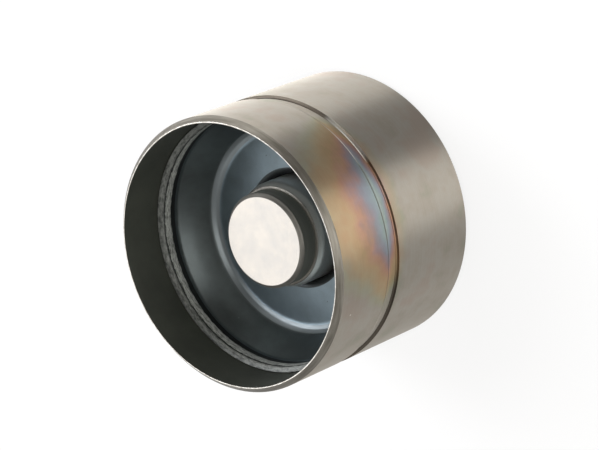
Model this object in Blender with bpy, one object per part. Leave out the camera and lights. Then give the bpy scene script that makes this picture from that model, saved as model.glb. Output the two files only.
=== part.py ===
"""Hydraulic bucket tappet, 35 mm across and 26 mm high, standing on its cam face with its mouth up.

The bucket slides in a cylinder head, between a cam and a valve stem. A pressed insert is fixed in its skirt
and carries the guide sleeve of the hydraulic element: a cup whose pad meets the valve stem, a hollow plunger
that stands on the crown, the check valve between the two, and the spring that takes up the play.

Sizes are in metres. +Z runs along the axis, from the cam face at z = 0 towards the mouth.
"""

import math

import bmesh
import bpy

# Bucket shell
BODY_DIAMETER = 0.0350
CROWN_THICKNESS = 0.0026
CROWN_EDGE = 0.0004
CROWN_FILLET = 0.0010
MOUTH_WALL = 0.0008
SEAT_STEP = 0.00055
RIM_FACE = 0.00018
RIM_CHAMFER_HEIGHT = 0.00073
MOUTH_DEPTH = 0.0062

# Oil groove, feed hole and the overflow channel in the crown
GROOVE_DROP = 0.00015
GROOVE_WIDTH = 0.00227
GROOVE_DEPTH = 0.0004
GROOVE_RAMP = 0.0013
GROOVE_WALL_RUN = 0.00008
FEED_HOLE_DIAMETER = 0.0012
OVERFLOW_WIDTH = 0.0040
OVERFLOW_DEPTH = 0.0006
OVERFLOW_REACH = 0.0030

# Pressed guide insert
SHEET = 0.0007
FLANGE_HEIGHT = 0.0030
FLANGE_BEND = 0.0015
EDGE_ROLL = 0.0004
CONE_ANGLE = math.radians(60.5)
DISH_DEPTH = 0.00765
DISH_BEND = 0.0011
COLLAR_BEND = 0.00025
SLEEVE_LENGTH = 0.0056

# Hydraulic element
STROKE = 0.0024
END_CLEARANCE = 0.0003
PLUNGER_DIAMETER = 0.0101
PLUNGER_LENGTH = 0.00795
PLUNGER_WALL = 0.00145
PLUNGER_EDGE = 0.0002
HEAD_THICKNESS = 0.0020
LEAK_LAND = 0.0022
LEAK_GROOVE_WIDTH = 0.0012
LEAK_GROOVE_DEPTH = 0.0002
CUP_WALL = 0.0017
CUP_EDGE = 0.0003
CUP_FILLET = 0.0004
PAD_THICKNESS = 0.00235
PAD_CHAMFER = 0.00045
NECK_HEIGHT = 0.00245
NECK_STEP = 0.0007
SHOULDER_RADIUS = 0.0020

# Ring that keeps the element in its sleeve
RING_WIRE = 0.0007
RING_GROOVE_DEPTH = 0.0004
RING_LAND = 0.00045
RING_OPENING = math.radians(40)

# Check valve
BALL_DIAMETER = 0.0028
BALL_PLAY = 0.00035
SEAT_HOLE_DIAMETER = 0.0017
SEAT_MARGIN = 0.00005
RETAINER_SHEET = 0.00035
RETAINER_BEND = 0.0002
RECESS_LIP = 0.0006
WINDOW_DIAMETER = 0.0011
WINDOW_HEIGHT = 0.0014
CHECK_SPRING_ROOM = 0.0009
CHECK_SPRING_WIRE = 0.00018
CHECK_SPRING_DIAMETER = 0.0020
CHECK_SPRING_TURNS = 3.0

# Return spring
RETURN_SPRING_WIRE = 0.0007
RETURN_SPRING_INSET = 0.0003
RETURN_SPRING_TURNS = 3.5
RETURN_SPRING_END_TURNS = 0.5

# Fits
RUNNING_CLEARANCE = 0.00005
SEAT_GAP = 0.00005

# Steps round the axis, along an arc and per turn of wire
BODY_STEPS = 56
ELEMENT_STEPS = 40
RETAINER_STEPS = 20
BALL_STEPS = 16
ARC_STEPS = 4
BEND_STEP = math.radians(25)
HOLE_STEPS = 12
WIRE_STEPS = 20
RING_STEPS = 32
WELD = 1e-6

# Heights above the cam face, worked up from the crown
CROWN_INSIDE = CROWN_THICKNESS
CUP_END = CROWN_INSIDE + END_CLEARANCE + STROKE
RING_HEIGHT = CUP_END + RING_LAND + SEAT_GAP + RING_WIRE / 2
SLEEVE_END = RING_HEIGHT + RING_WIRE / 2 + SEAT_GAP
DISH_FLOOR = SLEEVE_END + SLEEVE_LENGTH
FLANGE_EDGE = DISH_FLOOR + DISH_DEPTH
BODY_HEIGHT = FLANGE_EDGE + MOUTH_DEPTH
PLUNGER_BASE = CROWN_INSIDE + SEAT_GAP
PLUNGER_TOP = PLUNGER_BASE + PLUNGER_LENGTH
RETAINER_BASE = PLUNGER_TOP - RETAINER_SHEET + SEAT_GAP

# Radii, worked out from the axis and in from the body
BODY_RADIUS = BODY_DIAMETER / 2
MOUTH_RADIUS = BODY_RADIUS - MOUTH_WALL
CHAMBER_RADIUS = MOUTH_RADIUS - SEAT_STEP
PLUNGER_RADIUS = PLUNGER_DIAMETER / 2
CUP_BORE = PLUNGER_RADIUS + RUNNING_CLEARANCE
CUP_RADIUS = CUP_BORE + CUP_WALL
SLEEVE_BORE = CUP_RADIUS + RUNNING_CLEARANCE
RECESS_RADIUS = PLUNGER_RADIUS - RECESS_LIP
RETAINER_FLANGE = RECESS_RADIUS - RUNNING_CLEARANCE
RETURN_SPRING_RADIUS = RETAINER_FLANGE - RETURN_SPRING_INSET - RETURN_SPRING_WIRE / 2
BALL_RADIUS = BALL_DIAMETER / 2
SEAT_HOLE_RADIUS = SEAT_HOLE_DIAMETER / 2
SEAT_MOUTH_RADIUS = BALL_RADIUS + SEAT_MARGIN
RETAINER_BORE = BALL_RADIUS + BALL_PLAY

# Check valve and chamber heights: the ball lies in a 45 degree cone below the plunger's recess
RECESS_FLOOR = PLUNGER_TOP - RETAINER_SHEET
SEAT_CONE_DEPTH = SEAT_MOUTH_RADIUS - SEAT_HOLE_RADIUS
BALL_HEIGHT = RECESS_FLOOR - SEAT_MOUTH_RADIUS + (BALL_RADIUS + SEAT_GAP) * math.sqrt(2)
RETAINER_CEILING = BALL_HEIGHT + BALL_RADIUS + CHECK_SPRING_ROOM
RETAINER_TOP = RETAINER_CEILING + RETAINER_SHEET
CUP_CEILING = RETAINER_TOP + STROKE + 2 * END_CLEARANCE
PAD_HEIGHT = CUP_CEILING + PAD_THICKNESS

# Mid-line of the insert's sheet, from the flange's edge to the sleeve's end
FLANGE_MIDDLE = MOUTH_RADIUS - SEAT_GAP - SHEET / 2
FLANGE_CORNER = FLANGE_EDGE - FLANGE_HEIGHT
FLOOR_MIDDLE = DISH_FLOOR - SHEET / 2
CONE_FOOT = FLANGE_MIDDLE - (FLANGE_CORNER - FLOOR_MIDDLE) / math.tan(CONE_ANGLE)
SLEEVE_MIDDLE = SLEEVE_BORE + SHEET / 2


def clear_scene():
    """Start from an empty scene."""
    for leftover in list(bpy.data.objects):
        bpy.data.objects.remove(leftover, do_unlink=True)


def steel(name, colour, roughness):
    """Return a metal of one colour (linear red, green, blue) and roughness."""
    material = bpy.data.materials.new(name)
    material.use_nodes = True
    shader = material.node_tree.nodes["Principled BSDF"]
    shader.inputs["Base Color"].default_value = (*colour, 1.0)
    shader.inputs["Metallic"].default_value = 1.0
    shader.inputs["Roughness"].default_value = roughness
    return material


def place(piece, parent, height=0.0):
    """Hang a piece on its parent, with its origin at this height above the cam face."""
    bpy.context.scene.collection.objects.link(piece)
    piece.parent = parent
    piece.location.z = height
    return piece


def arc(centre, radius, start, end, steps=ARC_STEPS):
    """Points of an arc in the (r, z) half-plane, from angle start to angle end in degrees."""
    points = []
    for step in range(steps + 1):
        angle = math.radians(start + (end - start) * step / steps)
        points.append((centre[0] + radius * math.cos(angle), centre[1] + radius * math.sin(angle)))
    return points


def mesh_object(name, bm, material):
    """Turn finished bmesh geometry into an object that is smooth but for its real edges."""
    bmesh.ops.recalc_face_normals(bm, faces=bm.faces)
    mesh = bpy.data.meshes.new(name)
    bm.to_mesh(mesh)
    bm.free()
    mesh.shade_smooth()
    mesh.set_sharp_from_angle(angle=math.radians(32))
    mesh.materials.append(material)
    return bpy.data.objects.new(name, mesh)


def turned(name, profile, steps, material):
    """Turn a closed (r, z) profile about the axis. A profile may start and end on the axis."""
    bm = bmesh.new()
    verts = [bm.verts.new((radius, 0.0, height)) for radius, height in profile]
    edges = [bm.edges.new(pair) for pair in zip(verts, verts[1:])]
    if profile[0][0] > 0.0:
        edges.append(bm.edges.new((verts[-1], verts[0])))
    bmesh.ops.spin(
        bm,
        geom=verts + edges,
        cent=(0.0, 0.0, 0.0),
        axis=(0.0, 0.0, 1.0),
        angle=math.tau,
        steps=steps,
        use_merge=True,
    )
    bmesh.ops.remove_doubles(bm, verts=bm.verts, dist=WELD)
    return mesh_object(name, bm, material)


def sheet_section(corners, bends, thickness):
    """Closed profile of a bent sheet: mid-line corners, each inner one rounded to its mid-line radius."""
    middle = []
    for index, (here, bend) in enumerate(zip(corners[1:-1], bends), start=1):
        before, after = corners[index - 1], corners[index + 1]
        angle_in = math.atan2(here[1] - before[1], here[0] - before[0])
        angle_out = math.atan2(after[1] - here[1], after[0] - here[0])
        turn = math.remainder(angle_out - angle_in, math.tau)
        side = math.copysign(1.0, turn)
        tangent = bend * math.tan(abs(turn) / 2)
        start = (here[0] - tangent * math.cos(angle_in), here[1] - tangent * math.sin(angle_in))
        centre = (start[0] - side * bend * math.sin(angle_in), start[1] + side * bend * math.cos(angle_in))
        steps = math.ceil(abs(turn) / BEND_STEP)
        for step in range(steps + 1):
            heading = angle_in + turn * step / steps
            point = (centre[0] + side * bend * math.sin(heading), centre[1] - side * bend * math.cos(heading))
            middle.append((point, heading))
    first = math.atan2(corners[1][1] - corners[0][1], corners[1][0] - corners[0][0])
    last = math.atan2(corners[-1][1] - corners[-2][1], corners[-1][0] - corners[-2][0])
    middle = [(corners[0], first)] + middle + [(corners[-1], last)]
    left = []
    right = []
    for (radius, height), heading in middle:
        across = (-math.sin(heading) * thickness / 2, math.cos(heading) * thickness / 2)
        left.append((radius + across[0], height + across[1]))
        right.append((radius - across[0], height - across[1]))
    return left, right


def drill(piece, name, radius, start, end, parent):
    """Cut a round hole through a piece, from one point to another."""
    way = [end[axis] - start[axis] for axis in range(3)]
    bm = bmesh.new()
    bmesh.ops.create_cone(
        bm,
        cap_ends=True,
        segments=HOLE_STEPS,
        radius1=radius,
        radius2=radius,
        depth=math.dist(start, end),
    )
    cutter = mesh_object(name + "_cutter", bm, piece.data.materials[0])
    place(cutter, parent)
    cutter.location = [(start[axis] + end[axis]) / 2 for axis in range(3)]
    cutter.rotation_euler = (0.0, math.acos(way[2] / math.dist(start, end)), math.atan2(way[1], way[0]))
    cut(piece, name, cutter)


def cut(piece, name, cutter):
    """Take a cutter's shape out of a piece with a Boolean, and keep the cutter out of the model."""
    cutter.hide_render = True
    cutter.display_type = "WIRE"
    difference = piece.modifiers.new(name, "BOOLEAN")
    difference.operation = "DIFFERENCE"
    difference.solver = "EXACT"
    difference.object = cutter


def channel_cutter(name, length, width, depth, height, parent, material):
    """Straight channel with round ends along X, its floor this far below the given height."""
    outline = []
    straight = (length - width) / 2
    for centre, start in ((straight, -90), (-straight, 90)):
        outline += arc((centre, 0.0), width / 2, start, start + 180, 2 * ARC_STEPS)
    bm = bmesh.new()
    floor = bm.faces.new([bm.verts.new((x, y, 0.0)) for x, y in outline])
    raised = bmesh.ops.extrude_face_region(bm, geom=[floor])
    tops = [item for item in raised["geom"] if isinstance(item, bmesh.types.BMVert)]
    bmesh.ops.translate(bm, verts=tops, vec=(0.0, 0.0, 2 * depth))
    return place(mesh_object(name, bm, material), parent, height - depth)


def wire_object(name, points, thickness, sides, material):
    """Round wire along a list of points, with closed ends."""
    curve = bpy.data.curves.new(name, "CURVE")
    curve.dimensions = "3D"
    curve.bevel_depth = thickness / 2
    curve.bevel_resolution = sides // 2 - 2
    curve.use_fill_caps = True
    spline = curve.splines.new("POLY")
    spline.points.add(len(points) - 1)
    for target, point in zip(spline.points, points):
        target.co = (*point, 1.0)
    spline.use_smooth = True
    curve.materials.append(material)
    return bpy.data.objects.new(name, curve)


def coil(radius, length, turns, end_turns, pitch_at_ends):
    """Centre-line of a compression spring from z = 0 up, wound closer over its end turns."""
    steps = round(turns * WIRE_STEPS)
    ends = 2 * end_turns * pitch_at_ends
    open_pitch = (length - ends) / (turns - 2 * end_turns)
    points = []
    for step in range(steps + 1):
        wound = turns * step / steps
        low = min(wound, end_turns)
        high = max(wound - (turns - end_turns), 0.0)
        height = (low + high) * pitch_at_ends + (wound - low - high) * open_pitch
        angle = math.tau * wound
        points.append((radius * math.cos(angle), radius * math.sin(angle), height))
    return points


def bucket_shell(parent):
    """Skirt and crown in one piece: oil groove outside, conical seat for the insert inside."""
    material = steel("ground_steel", (0.40, 0.385, 0.365), 0.32)
    seat_offset = SHEET / 2 + SEAT_GAP
    seat_r = FLANGE_MIDDLE + seat_offset * math.sin(CONE_ANGLE)
    seat_z = FLANGE_CORNER - seat_offset * math.cos(CONE_ANGLE)
    seat_top = seat_z + (MOUTH_RADIUS - seat_r) * math.tan(CONE_ANGLE)
    seat_foot = seat_z + (CHAMBER_RADIUS - seat_r) * math.tan(CONE_ANGLE)
    groove_top = seat_top - GROOVE_DROP
    groove_foot = groove_top - GROOVE_WIDTH
    floor_radius = BODY_RADIUS - GROOVE_DEPTH
    ramp = []
    for step in range(ARC_STEPS + 1):
        share = step / ARC_STEPS
        sink = GROOVE_DEPTH * math.sin(share * math.pi / 2)
        ramp.append((BODY_RADIUS - sink, groove_top - GROOVE_RAMP * share))
    fillet_centre = (CHAMBER_RADIUS - CROWN_FILLET, CROWN_INSIDE + CROWN_FILLET)
    rim_radius = MOUTH_RADIUS + RIM_FACE
    profile = (
        [
            (0.0, CROWN_INSIDE),
            *arc(fillet_centre, CROWN_FILLET, -90, 0),
            (CHAMBER_RADIUS, seat_foot),
            (MOUTH_RADIUS, seat_top),
            (MOUTH_RADIUS, BODY_HEIGHT),
            (rim_radius, BODY_HEIGHT),
            (BODY_RADIUS, BODY_HEIGHT - RIM_CHAMFER_HEIGHT),
        ]
        + ramp
        + [
            (floor_radius, groove_foot + GROOVE_WALL_RUN),
            (BODY_RADIUS, groove_foot),
            (BODY_RADIUS, CROWN_EDGE),
            (BODY_RADIUS - CROWN_EDGE, 0.0),
            (0.0, 0.0),
        ]
    )
    shell = place(turned("bucket_shell", profile, BODY_STEPS, material), parent)
    feed_height = groove_foot + GROOVE_WALL_RUN + SEAT_GAP + FEED_HOLE_DIAMETER / 2
    drill(
        shell,
        "feed_hole",
        FEED_HOLE_DIAMETER / 2,
        (0.0, CHAMBER_RADIUS - FEED_HOLE_DIAMETER, feed_height),
        (0.0, BODY_RADIUS + FEED_HOLE_DIAMETER, feed_height),
        parent,
    )
    length = 2 * (PLUNGER_RADIUS + OVERFLOW_REACH)
    channel = channel_cutter(
        "overflow_cutter", length, OVERFLOW_WIDTH, OVERFLOW_DEPTH, CROWN_INSIDE, parent, material
    )
    cut(shell, "overflow", channel)
    return shell


def guide_insert(parent):
    """Pressed dish: flange in the skirt, cone, flat floor, and the guide sleeve drawn from its middle."""
    material = steel("phosphated_steel", (0.085, 0.10, 0.11), 0.42)
    corners = [
        (FLANGE_MIDDLE, FLANGE_EDGE - SLEEVE_END),
        (FLANGE_MIDDLE, FLANGE_CORNER - SLEEVE_END),
        (CONE_FOOT, FLOOR_MIDDLE - SLEEVE_END),
        (SLEEVE_MIDDLE, FLOOR_MIDDLE - SLEEVE_END),
        (SLEEVE_MIDDLE, 0.0),
    ]
    bends = [FLANGE_BEND + SHEET / 2, DISH_BEND + SHEET / 2, COLLAR_BEND + SHEET / 2]
    outside, inside = sheet_section(corners, bends, SHEET)
    if outside[0][0] < inside[0][0]:
        outside, inside = inside, outside
    rolled = (inside[0][0], inside[0][1] - EDGE_ROLL)
    profile = outside[::-1] + [rolled] + inside[1:]
    return place(turned("guide_insert", profile, BODY_STEPS, material), parent, SLEEVE_END)


def element_cup(parent):
    """Cup of the hydraulic element: open end down, closed end with the pad for the valve stem up."""
    material = steel("hardened_steel", (0.20, 0.20, 0.195), 0.28)
    ceiling = CUP_CEILING - CUP_END
    top = PAD_HEIGHT - CUP_END
    neck = CUP_RADIUS - NECK_STEP
    crease = top - NECK_HEIGHT
    lean = math.degrees(math.acos((SHOULDER_RADIUS - NECK_STEP) / SHOULDER_RADIUS))
    shoulder_foot = crease - SHOULDER_RADIUS * math.sin(math.radians(lean))
    shoulder = arc((CUP_RADIUS - SHOULDER_RADIUS, shoulder_foot), SHOULDER_RADIUS, 0, lean)
    groove_low = RING_LAND
    groove_high = groove_low + RING_WIRE + 2 * SEAT_GAP
    groove_radius = CUP_RADIUS - RING_GROOVE_DEPTH
    ceiling_corner = (CUP_BORE - CUP_FILLET, ceiling - CUP_FILLET)
    profile = (
        [
            (0.0, ceiling),
            *arc(ceiling_corner, CUP_FILLET, 90, 0, 2),
            (CUP_BORE, CUP_EDGE),
            (CUP_BORE + CUP_EDGE, 0.0),
            (CUP_RADIUS - CUP_EDGE, 0.0),
            (CUP_RADIUS, CUP_EDGE),
            (CUP_RADIUS, groove_low),
            (groove_radius, groove_low),
            (groove_radius, groove_high),
            (CUP_RADIUS, groove_high),
        ]
        + shoulder
        + [
            (neck, top - PAD_CHAMFER),
            (neck - PAD_CHAMFER, top),
            (0.0, top),
        ]
    )
    return place(turned("element_cup", profile, ELEMENT_STEPS, material), parent, CUP_END)


def plunger(parent):
    """Hollow plunger: open end on the crown, check-valve seat and retainer recess in its head."""
    material = steel("ground_plunger_steel", (0.36, 0.36, 0.355), 0.22)
    reservoir = PLUNGER_RADIUS - PLUNGER_WALL
    head_under = PLUNGER_LENGTH - HEAD_THICKNESS
    recess_floor = PLUNGER_LENGTH - RETAINER_SHEET
    leak_high = PLUNGER_LENGTH - LEAK_LAND
    leak_low = leak_high - LEAK_GROOVE_WIDTH
    leak_radius = PLUNGER_RADIUS - LEAK_GROOVE_DEPTH
    profile = [
        (SEAT_HOLE_RADIUS, recess_floor - SEAT_CONE_DEPTH),
        (SEAT_HOLE_RADIUS, head_under),
        (reservoir - CUP_FILLET, head_under),
        (reservoir, head_under - CUP_FILLET),
        (reservoir, PLUNGER_EDGE),
        (reservoir + PLUNGER_EDGE, 0.0),
        (PLUNGER_RADIUS - PLUNGER_EDGE, 0.0),
        (PLUNGER_RADIUS, PLUNGER_EDGE),
        (PLUNGER_RADIUS, leak_low),
        (leak_radius, leak_low + LEAK_GROOVE_DEPTH),
        (leak_radius, leak_high - LEAK_GROOVE_DEPTH),
        (PLUNGER_RADIUS, leak_high),
        (PLUNGER_RADIUS, PLUNGER_LENGTH - PLUNGER_EDGE),
        (PLUNGER_RADIUS - PLUNGER_EDGE, PLUNGER_LENGTH),
        (RECESS_RADIUS, PLUNGER_LENGTH),
        (RECESS_RADIUS, recess_floor),
        (SEAT_MOUTH_RADIUS, recess_floor),
    ]
    return place(turned("plunger", profile, ELEMENT_STEPS, material), parent, PLUNGER_BASE)


def ball_retainer(parent):
    """Pressed hat over ball and spring, held in the plunger's recess by the return spring."""
    material = steel("pressed_strip_steel", (0.33, 0.32, 0.30), 0.35)
    ceiling = RETAINER_CEILING - RETAINER_BASE
    corners = [
        (RETAINER_FLANGE, RETAINER_SHEET / 2),
        (RETAINER_BORE + RETAINER_SHEET / 2, RETAINER_SHEET / 2),
        (RETAINER_BORE + RETAINER_SHEET / 2, ceiling + RETAINER_SHEET / 2),
        (0.0, ceiling + RETAINER_SHEET / 2),
    ]
    bend = RETAINER_BEND + RETAINER_SHEET / 2
    left, right = sheet_section(corners, [bend, bend], RETAINER_SHEET)
    profile = left[::-1] + right
    hat = place(turned("ball_retainer", profile, RETAINER_STEPS, material), parent, RETAINER_BASE)
    reach = RETAINER_BORE + 2 * RETAINER_SHEET
    height = RETAINER_BASE + WINDOW_HEIGHT
    drill(hat, "window_x", WINDOW_DIAMETER / 2, (-reach, 0.0, height), (reach, 0.0, height), parent)
    drill(hat, "window_y", WINDOW_DIAMETER / 2, (0.0, -reach, height), (0.0, reach, height), parent)
    return hat


def check_ball(parent):
    """Ball of the check valve, in its seat."""
    material = steel("polished_ball_steel", (0.55, 0.55, 0.54), 0.08)
    bm = bmesh.new()
    bmesh.ops.create_uvsphere(bm, u_segments=BALL_STEPS, v_segments=BALL_STEPS // 2, radius=BALL_RADIUS)
    return place(mesh_object("check_ball", bm, material), parent, BALL_HEIGHT)


def check_spring(parent):
    """Light spring between the ball and the retainer's ceiling."""
    material = steel("spring_wire_fine", (0.30, 0.30, 0.30), 0.25)
    middle = CHECK_SPRING_DIAMETER / 2
    around_ball = BALL_RADIUS + CHECK_SPRING_WIRE / 2 + SEAT_GAP
    low = BALL_HEIGHT + math.sqrt(around_ball**2 - middle**2)
    high = RETAINER_CEILING - SEAT_GAP - CHECK_SPRING_WIRE / 2
    points = coil(middle, high - low, CHECK_SPRING_TURNS, 0.0, 0.0)
    return place(wire_object("check_spring", points, CHECK_SPRING_WIRE, 6, material), parent, low)


def return_spring(parent):
    """Spring from the retainer's flange to the cup's ceiling, with close end turns."""
    material = steel("spring_wire", (0.24, 0.24, 0.24), 0.30)
    low = RETAINER_BASE + RETAINER_SHEET + SEAT_GAP + RETURN_SPRING_WIRE / 2
    high = CUP_CEILING - SEAT_GAP - RETURN_SPRING_WIRE / 2
    close_pitch = RETURN_SPRING_WIRE + SEAT_GAP
    points = coil(
        RETURN_SPRING_RADIUS, high - low, RETURN_SPRING_TURNS, RETURN_SPRING_END_TURNS, close_pitch
    )
    return place(wire_object("return_spring", points, RETURN_SPRING_WIRE, 8, material), parent, low)


def retaining_ring(parent):
    """Open wire ring in the cup's groove, which stops the element at the sleeve's end."""
    material = steel("ring_wire", (0.28, 0.27, 0.26), 0.30)
    radius = CUP_RADIUS - RING_GROOVE_DEPTH + SEAT_GAP + RING_WIRE / 2
    points = []
    for step in range(RING_STEPS + 1):
        angle = RING_OPENING / 2 + (math.tau - RING_OPENING) * step / RING_STEPS
        points.append((radius * math.cos(angle), radius * math.sin(angle), 0.0))
    return place(wire_object("retaining_ring", points, RING_WIRE, 8, material), parent, RING_HEIGHT)


def axis_empty(name, parent=None):
    """Empty on the tappet's axis, which a moving group hangs on."""
    empty = bpy.data.objects.new(name, None)
    empty.empty_display_size = BODY_RADIUS
    return place(empty, parent)


def build():
    """Make every piece and hang it on the axis that it moves on."""
    clear_scene()
    body_axis = axis_empty("body_axis")
    element_axis = axis_empty("element_axis", body_axis)
    cup_axis = axis_empty("cup_axis", element_axis)
    ball_axis = axis_empty("ball_axis", element_axis)
    bucket_shell(body_axis)
    guide_insert(body_axis)
    plunger(element_axis)
    ball_retainer(element_axis)
    return_spring(element_axis)
    check_spring(element_axis)
    check_ball(ball_axis)
    element_cup(cup_axis)
    retaining_ring(cup_axis)


build()
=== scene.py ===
# %% [markdown]
# # A hydraulic bucket tappet, dressed for a close-up
#
# A bucket tappet stands between a cam and a valve stem. Everything on it is turned, ground, pressed or wound,
# so nearly every shape here is a profile that goes once round an axis, and every finish is a steel. The
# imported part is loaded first, because it is the fixed frame. The pieces made below keep its places and
# sizes, and each rides on one of its bodies.

# %% Load the part
import math

import bmesh
import bpy
from mathutils import Matrix, Vector


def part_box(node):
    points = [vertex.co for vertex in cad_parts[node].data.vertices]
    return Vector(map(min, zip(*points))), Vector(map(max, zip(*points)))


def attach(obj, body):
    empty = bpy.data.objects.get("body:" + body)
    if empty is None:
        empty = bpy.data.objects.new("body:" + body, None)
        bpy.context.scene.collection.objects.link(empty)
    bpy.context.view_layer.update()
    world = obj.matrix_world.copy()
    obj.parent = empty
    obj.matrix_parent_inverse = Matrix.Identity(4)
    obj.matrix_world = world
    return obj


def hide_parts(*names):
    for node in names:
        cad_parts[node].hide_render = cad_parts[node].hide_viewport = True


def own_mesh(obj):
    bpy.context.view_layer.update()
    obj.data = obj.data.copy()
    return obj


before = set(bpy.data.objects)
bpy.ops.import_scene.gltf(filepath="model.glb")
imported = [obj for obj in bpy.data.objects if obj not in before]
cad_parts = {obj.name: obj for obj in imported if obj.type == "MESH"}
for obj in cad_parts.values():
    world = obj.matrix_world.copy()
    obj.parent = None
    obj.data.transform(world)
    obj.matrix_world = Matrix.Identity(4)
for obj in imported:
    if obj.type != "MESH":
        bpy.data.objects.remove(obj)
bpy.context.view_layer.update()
print("nodes:", sorted(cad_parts))

# %% [markdown]
# ## Sizes
#
# A drawing of a turned part names radii and heights, and so does this script. All sizes are in millimetres
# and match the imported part, and heights start at the cam face. They could be measured on the loaded solids,
# but those have flat facets, so most radii would come out a little small.

# %% Main sizes
MM = 0.001
# Bucket
BODY_R = 17.5
BODY_TOP = 26.0
MOUTH_R = 16.7
CHAMBER_R = 16.15
CROWN_INSIDE = 2.6
GROOVE_TOP = 16.545
GROOVE_FOOT = 14.275
GROOVE_DEPTH = 0.4
# Insert
SHEET = 0.7
FLANGE_TOP = 19.8
DISH_FLOOR = 12.15
SLEEVE_BORE = 6.85
SLEEVE_END = 6.55
# Cup of the hydraulic element
CUP_R = 6.8
CUP_BORE = 5.1
CUP_END = 5.3
CUP_CEILING = 16.5006
PAD_TOP = 18.8506
PAD_EDGE_R = 5.65
NECK_R = 6.1
low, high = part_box("bucket_shell")
print("shell in the part: %.2f mm across, %.2f mm high" % ((high.x - low.x) / MM, (high.z - low.z) / MM))

# %% [markdown]
# ## Camera
#
# The photograph looks into the mouth from 42 degrees off the axis, with a long lens, and the tappet lies
# across the picture. The tappet could be laid down, but the part stands on its cam face and stays where it
# is, so the camera is rolled instead. Its three axes are written out: one towards the camera, one to the
# right of the picture and one up.

# %% Camera
OFF_AXIS = math.radians(42.206)
ROLL_COS, ROLL_SIN = -0.3745, -0.9272  # of a roll by -112 degrees
RIGHT_OF_RIM, ABOVE_RIM, AWAY = 8.866, 3.843, 365.54  # from the middle of the rim
FOCAL_PIXELS, PICTURE_PIXELS, SENSOR = 3000, 599, 36.0
toward = Vector((0.0, -math.sin(OFF_AXIS), math.cos(OFF_AXIS)))
across = Vector((1.0, 0.0, 0.0))
upward = Vector((0.0, math.cos(OFF_AXIS), math.sin(OFF_AXIS)))
right = ROLL_COS * across + ROLL_SIN * upward
up = -ROLL_SIN * across + ROLL_COS * upward
eye = Vector((0.0, 0.0, BODY_TOP)) + RIGHT_OF_RIM * right + ABOVE_RIM * up + AWAY * toward
camera = bpy.data.objects.new("camera", bpy.data.cameras.new("camera"))
camera.data.sensor_width = SENSOR
camera.data.lens = FOCAL_PIXELS / PICTURE_PIXELS * SENSOR
camera.matrix_world = Matrix.Translation(eye * MM) @ Matrix((right, up, toward)).transposed().to_4x4()
bpy.context.scene.collection.objects.link(camera)
bpy.context.scene.camera = camera
print("camera %.0f mm away, lens %.0f mm" % ((eye - Vector((0, 0, BODY_TOP / 2))).length, camera.data.lens))

# %% [markdown]
# ## Small tools
#
# Colours are usually written as sRGB hex values, while shaders work in linear light, so one function turns
# one into the other. Another adds a node with its settings and links, in shader, world and geometry trees
# alike, where a node would otherwise take four or five lines. The last puts an object into the scene.

# %% Tools for colours, nodes and objects
def linear(code):
    """Linear red, green, blue and alpha of an sRGB hex colour."""
    parts = [int(code[i:i + 2], 16) / 255 for i in (1, 3, 5)]
    return tuple(c / 12.92 if c <= 0.04045 else ((c + 0.055) / 1.055) ** 2.4 for c in parts) + (1.0,)


def add(tree, kind, inputs=(), out=0, stops=(), ease="LINEAR", **settings):
    """Add a node and give one of its outputs, or all of them for out=None.

    A kind in capitals is the operation of a Math node. Inputs are values, or sockets to link from: a row in
    the node's own order, or by name or number. Stops are the (position, hex colour) pairs of a colour ramp.
    """
    if kind.isupper():
        kind, settings = "ShaderNodeMath", {"operation": kind, **settings}
    node = tree.nodes.new(kind)
    for name, value in settings.items():
        setattr(node, name, value)
    for name, value in inputs.items() if isinstance(inputs, dict) else enumerate(inputs):
        if isinstance(value, bpy.types.NodeSocket):
            tree.links.new(value, node.inputs[name])
        else:
            node.inputs[name].default_value = value
    if stops:
        node.color_ramp.interpolation = ease
        elements = node.color_ramp.elements
        while len(elements) < len(stops):
            elements.new(0.5)
        for element, (position, code) in zip(elements, stops):
            element.position = position
            element.color = linear(code)
    return node.outputs if out is None or not node.outputs else node.outputs[out]


def new_object(name, data):
    """Object in the scene."""
    made = bpy.data.objects.new(name, data)
    bpy.context.scene.collection.objects.link(made)
    return made


RAMP, MIX, NOISE = "ShaderNodeValToRGB", "ShaderNodeMix", "ShaderNodeTexNoise"
RANGE, SPLIT, JOIN = "ShaderNodeMapRange", "ShaderNodeSeparateXYZ", "ShaderNodeCombineXYZ"
# A range node takes a value, the range that it comes from and the range that it goes to.
# These are the settings of a mix of two colours, and of one that multiplies them.
BLEND = {"data_type": "RGBA", "out": 2}
TINT = {"data_type": "RGBA", "blend_type": "MULTIPLY", "out": 2}
print("steel grey #A29B8E in linear light:", [round(c, 3) for c in linear("#A29B8E")])

# %% [markdown]
# ## What the geometry trees share
#
# Turned and wound pieces come from two trees of Geometry Nodes. Both start with named inputs, place points
# round the axis, and end alike: smooth faces, instances made real, because the export drops instances, and a
# material.

# %% Shared parts of the geometry trees
def open_tree(name, **sockets):
    """Geometry tree with inputs of the given kinds, and one output. Underscores become spaces."""
    tree = bpy.data.node_groups.new(name, "GeometryNodeTree")
    for label, kind in sockets.items():
        label = label.replace("_", " ")
        tree.interface.new_socket(label, in_out="INPUT", socket_type="NodeSocket" + kind)
    tree.interface.new_socket("Piece", in_out="OUTPUT", socket_type="NodeSocketGeometry")
    return tree, add(tree, "NodeGroupInput", out=None)


def close_tree(tree, shape, steel):
    """Last nodes of a tree: the shape smooth, real and in its steel."""
    smooth = add(tree, "GeometryNodeSetShadeSmooth", {"Geometry": shape})
    real = add(tree, "GeometryNodeRealizeInstances", {"Geometry": smooth})
    dressed = add(tree, "GeometryNodeSetMaterial", {"Geometry": real, "Material": steel})
    add(tree, "NodeGroupOutput", {"Piece": dressed})
    print(tree.name, "tree:", len(tree.nodes), "nodes")
    return tree


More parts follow.
